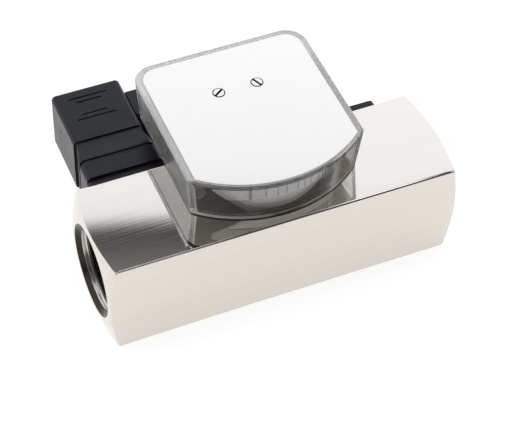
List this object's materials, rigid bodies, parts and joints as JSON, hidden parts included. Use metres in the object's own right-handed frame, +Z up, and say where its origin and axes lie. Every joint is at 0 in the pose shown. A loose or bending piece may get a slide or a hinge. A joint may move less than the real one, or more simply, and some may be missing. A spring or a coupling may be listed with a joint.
{
  "type": "variable area flow meter",
  "caption": "Flow meter with a square nickel-plated body, pipe-threaded ports, a clear pointer head over a sprung magnetic float, and a sliding reed switch with a square plug",
  "frame": {"origin": "centre of the flow body's underside", "axes": "+X along the flow, from inlet to outlet; +Y towards the switch at the rear; +Z up, to the head"},
  "size_m": [0.131, 0.0929, 0.0581],
  "materials": {
    "nickel_brass": "nickel plated, bright drawn",
    "polished_plate": "polished",
    "steel": "bright",
    "brass": "turned",
    "white_plastic": "satin",
    "magnet": "sintered",
    "clear_plastic": "clear, polished",
    "scale_metal": "satin",
    "scale_white": "white print",
    "pointer_black": "black",
    "rubber": "matte",
    "silicone": "pale grey, satin",
    "black_plastic": "satin moulded",
    "board": "lacquered",
    "reed_glass": "clear",
    "wire": "insulated"
  },
  "bodies": {
    "meter": {"flow_body": "nickel_brass", "inlet_circlip": "steel", "outlet_circlip": "steel", "inlet_guide": "white_plastic", "outlet_guide": "white_plastic", "metering_sleeve": "brass", "sleeve_seal": "rubber", "spacer_tube": "brass", "guide_rod": "steel", "rod_nut": "steel", "return_spring": "steel", "head_gasket": "silicone", "base_plate": "steel", "base_screws": "steel", "pivot_frame": "brass", "frame_screws": "steel", "pivot_bushes": "brass", "scale_plate": "scale_metal", "scale_strip": "scale_white", "clear_cap": "clear_plastic", "cover_plate": "polished_plate", "cover_screws": "steel", "clamp_screws": "steel", "clamp_washers": "steel"},
    "float": {"float_piston": "white_plastic", "float_magnet": "magnet", "float_collar": "white_plastic"},
    "pointer": {"pointer": "pointer_black", "pointer_magnet": "magnet", "pointer_counterweight": "brass", "pivot_pin": "steel"},
    "switch": {"switch_housing": "black_plastic", "switch_lid": "black_plastic", "reed_board": "board", "reed_contact": "reed_glass", "reed_wires": "wire", "connector_socket": "black_plastic", "socket_blades": "brass", "plug_gasket": "rubber"},
    "plug": {"plug_housing": "black_plastic", "terminal_insert": "black_plastic", "terminal_screws": "steel", "plug_screw": "steel", "gland_seal": "rubber", "gland_washer": "steel", "gland_nut": "black_plastic"}
  },
  "joints": [
    {"name": "float_slide", "type": "slide", "parent": "meter", "child": "float", "axis": [1, 0, 0], "range_m": [0, 0.023], "stiffness_N_per_m": 170, "springref_m": -0.006, "deforming": ["return_spring"]},
    {"name": "pointer_turn", "type": "hinge", "parent": "meter", "child": "pointer", "pos_m": [0.0007, 0.0303, 0.045], "axis": [0, 0, 1], "range_deg": [0, 41.5]},
    {"name": "switch_slide", "type": "slide", "parent": "meter", "child": "switch", "axis": [1, 0, 0], "range_m": [-0.005, 0.005]},
    {"name": "plug_pull", "type": "slide", "parent": "switch", "child": "plug", "axis": [0, 1, 0], "range_m": [0, 0.03]}
  ],
  "couplings": [
    {"joint": "pointer_turn", "follows": "float_slide", "rad_per_m": 31.491}
  ]
}
